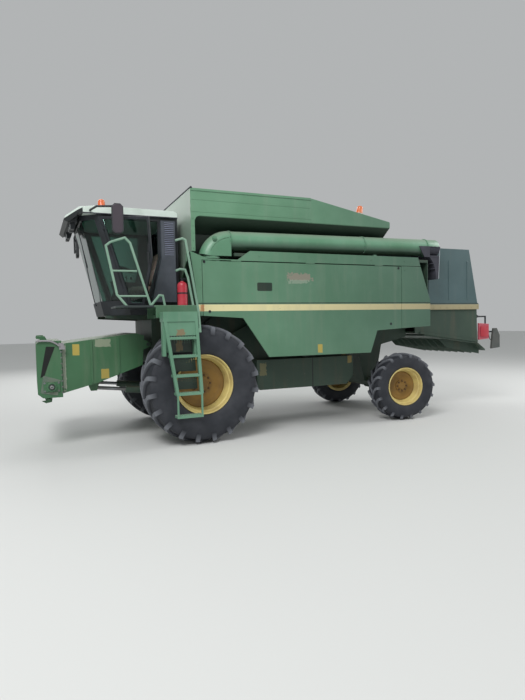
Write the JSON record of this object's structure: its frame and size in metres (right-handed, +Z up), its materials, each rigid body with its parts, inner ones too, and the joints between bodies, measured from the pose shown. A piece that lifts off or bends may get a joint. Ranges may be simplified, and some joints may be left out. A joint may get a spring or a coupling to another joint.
{
  "type": "combine harvester",
  "caption": "Self-propelled combine harvester without header: feeder house, cab with open door, grain tank, folded unloading auger, lifting side panels, straw hood and steered rear wheels.",
  "frame": {"origin": "middle of the machine's length and width, on the ground", "axes": "+X forward, +Y to the machine's left, +Z up"},
  "size_m": [8.86, 3.4, 3.95],
  "materials": {
    "green_paint": "satin",
    "dark_green_paint": "satin",
    "pale_green_paint": "satin",
    "yellow_paint": "satin",
    "black_metal": "satin",
    "grey_metal": "satin",
    "steel": "satin",
    "tyre": "matte",
    "rubber": "matte",
    "glass": "gloss",
    "seat_fabric": "matte",
    "cab_plastic": "matte",
    "red_paint": "gloss",
    "orange_lens": "gloss",
    "mirror_black": "matte"
  },
  "bodies": {
    "chassis": {"separator_housing": "green_paint", "cleaning_shoe_housing": "dark_green_paint", "front_axle": "dark_green_paint", "rear_axle": "dark_green_paint", "side_decks": "dark_green_paint", "side_trims": "green_paint", "rear_side_panels": "green_paint", "grain_tank": "green_paint", "engine_hood": "green_paint", "engine": "grey_metal", "exhaust": "black_metal", "screen_shroud": "black_metal", "straw_hood": "green_paint", "chopper_housing": "dark_green_paint", "spreader_tailboard": "dark_green_paint", "marker_arm": "black_metal", "marker_boards": "red_paint", "cab_frame": "black_metal", "cab_glass": "glass", "cab_roof": "pale_green_paint", "louvre_panel": "grey_metal", "seat": "seat_fabric", "cab_controls": "cab_plastic", "platform": "green_paint", "ladder": "green_paint", "handrails": "green_paint", "fire_extinguisher": "red_paint", "mirror_left": "mirror_black", "mirror_right": "mirror_black", "beacons": "orange_lens", "steering_cylinder": "dark_green_paint", "work_lamps": "black_metal", "side_drive": "dark_green_paint", "auger_mounts": "green_paint"},
    "front_wheel_left": {"tyre_front_left": "tyre", "rim_front_left": "yellow_paint"},
    "front_wheel_right": {"tyre_front_right": "tyre", "rim_front_right": "yellow_paint"},
    "rear_wheel_left": {"tyre_rear_left": "tyre", "rim_rear_left": "yellow_paint"},
    "rear_wheel_right": {"tyre_rear_right": "tyre", "rim_rear_right": "yellow_paint"},
    "knuckle_left": {"knuckle_rear_left": "dark_green_paint"},
    "knuckle_right": {"knuckle_rear_right": "dark_green_paint"},
    "tie_rod": {"tie_rod": "steel"},
    "feeder": {"feeder_house": "green_paint", "feeder_conveyor": "steel", "adapter_frame": "green_paint"},
    "lift_barrel_left": {"lift_barrel_left": "dark_green_paint"},
    "lift_barrel_right": {"lift_barrel_right": "dark_green_paint"},
    "lift_rod_left": {"lift_rod_left": "steel"},
    "lift_rod_right": {"lift_rod_right": "steel"},
    "auger": {"auger_tube": "green_paint", "auger_spout": "rubber"},
    "door": {"door_frame": "black_metal", "door_glass": "glass"},
    "shield_left": {"shield_left": "green_paint"},
    "shield_right": {"shield_right": "green_paint"},
    "rotary_screen": {"rotary_screen": "grey_metal"}
  },
  "joints": [
    {"name": "front_wheel_left_spin", "type": "hinge", "parent": "chassis", "child": "front_wheel_left", "pos_m": [2.13, 1.19, 0.895], "axis": [0, 1, 0], "continuous": true},
    {"name": "front_wheel_right_spin", "type": "hinge", "parent": "chassis", "child": "front_wheel_right", "pos_m": [2.13, -1.19, 0.895], "axis": [0, 1, 0], "continuous": true},
    {"name": "steer_left", "type": "hinge", "parent": "chassis", "child": "knuckle_left", "pos_m": [-1.724, 0.9, 0.603], "axis": [0, 0, 1], "range_deg": [-32, 48]},
    {"name": "steer_right", "type": "hinge", "parent": "chassis", "child": "knuckle_right", "pos_m": [-1.724, -0.9, 0.603], "axis": [0, 0, 1], "range_deg": [-32, 48]},
    {"name": "tie_rod_slide", "type": "slide", "parent": "chassis", "child": "tie_rod", "axis": [0, 1, 0], "range_m": [-0.158, 0.108]},
    {"name": "rear_wheel_left_spin", "type": "hinge", "parent": "knuckle_left", "child": "rear_wheel_left", "pos_m": [-1.68225, 1.19708, 0.603], "axis": [0.1392, 0.9903, 0], "continuous": true},
    {"name": "rear_wheel_right_spin", "type": "hinge", "parent": "knuckle_right", "child": "rear_wheel_right", "pos_m": [-1.76575, -1.19708, 0.603], "axis": [0.1392, 0.9903, 0], "continuous": true},
    {"name": "feeder_lift", "type": "hinge", "parent": "chassis", "child": "feeder", "pos_m": [2.81, 0, 1.5], "axis": [0, -1, 0], "range_deg": [-22, 14]},
    {"name": "lift_barrel_left_pivot", "type": "hinge", "parent": "chassis", "child": "lift_barrel_left", "pos_m": [2.29, 0.48, 0.7], "axis": [0, -1, 0], "range_deg": [-12.5, 8]},
    {"name": "lift_barrel_right_pivot", "type": "hinge", "parent": "chassis", "child": "lift_barrel_right", "pos_m": [2.29, -0.48, 0.7], "axis": [0, -1, 0], "range_deg": [-12.5, 8]},
    {"name": "lift_rod_left_slide", "type": "slide", "parent": "lift_barrel_left", "child": "lift_rod_left", "axis": [0.9938, 0, 0.1112], "range_m": [-0.29, 0.186]},
    {"name": "lift_rod_right_slide", "type": "slide", "parent": "lift_barrel_right", "child": "lift_rod_right", "axis": [0.9938, 0, 0.1112], "range_m": [-0.29, 0.186]},
    {"name": "auger_swing", "type": "hinge", "parent": "chassis", "child": "auger", "pos_m": [1.915, 1.218, 2.74], "axis": [0, 0, -1], "range_deg": [0, 95]},
    {"name": "cab_door_hinge", "type": "hinge", "parent": "chassis", "child": "door", "pos_m": [3.12374, 0.874, 2.15], "axis": [-0.2862, 0, -0.9582], "range_deg": [-50, 2]},
    {"name": "shield_left_hinge", "type": "hinge", "parent": "chassis", "child": "shield_left", "pos_m": [0.28, 1.402, 2.752], "axis": [1, 0, 0], "range_deg": [0, 85]},
    {"name": "shield_right_hinge", "type": "hinge", "parent": "chassis", "child": "shield_right", "pos_m": [0.28, -1.402, 2.752], "axis": [-1, 0, 0], "range_deg": [0, 85]},
    {"name": "rotary_screen_spin", "type": "hinge", "parent": "chassis", "child": "rotary_screen", "pos_m": [-0.55, -1.312, 3.3], "axis": [0, -1, 0], "continuous": true}
  ],
  "couplings": [
    {"joint": "steer_right", "follows": "steer_left", "ratio": 1},
    {"joint": "tie_rod_slide", "follows": "steer_left", "m_per_rad": -0.184},
    {"joint": "lift_barrel_left_pivot", "follows": "feeder_lift", "ratio": 0.555},
    {"joint": "lift_barrel_right_pivot", "follows": "feeder_lift", "ratio": 0.555},
    {"joint": "lift_rod_left_slide", "follows": "feeder_lift", "m_per_rad": 0.75},
    {"joint": "lift_rod_right_slide", "follows": "feeder_lift", "m_per_rad": 0.75}
  ]
}
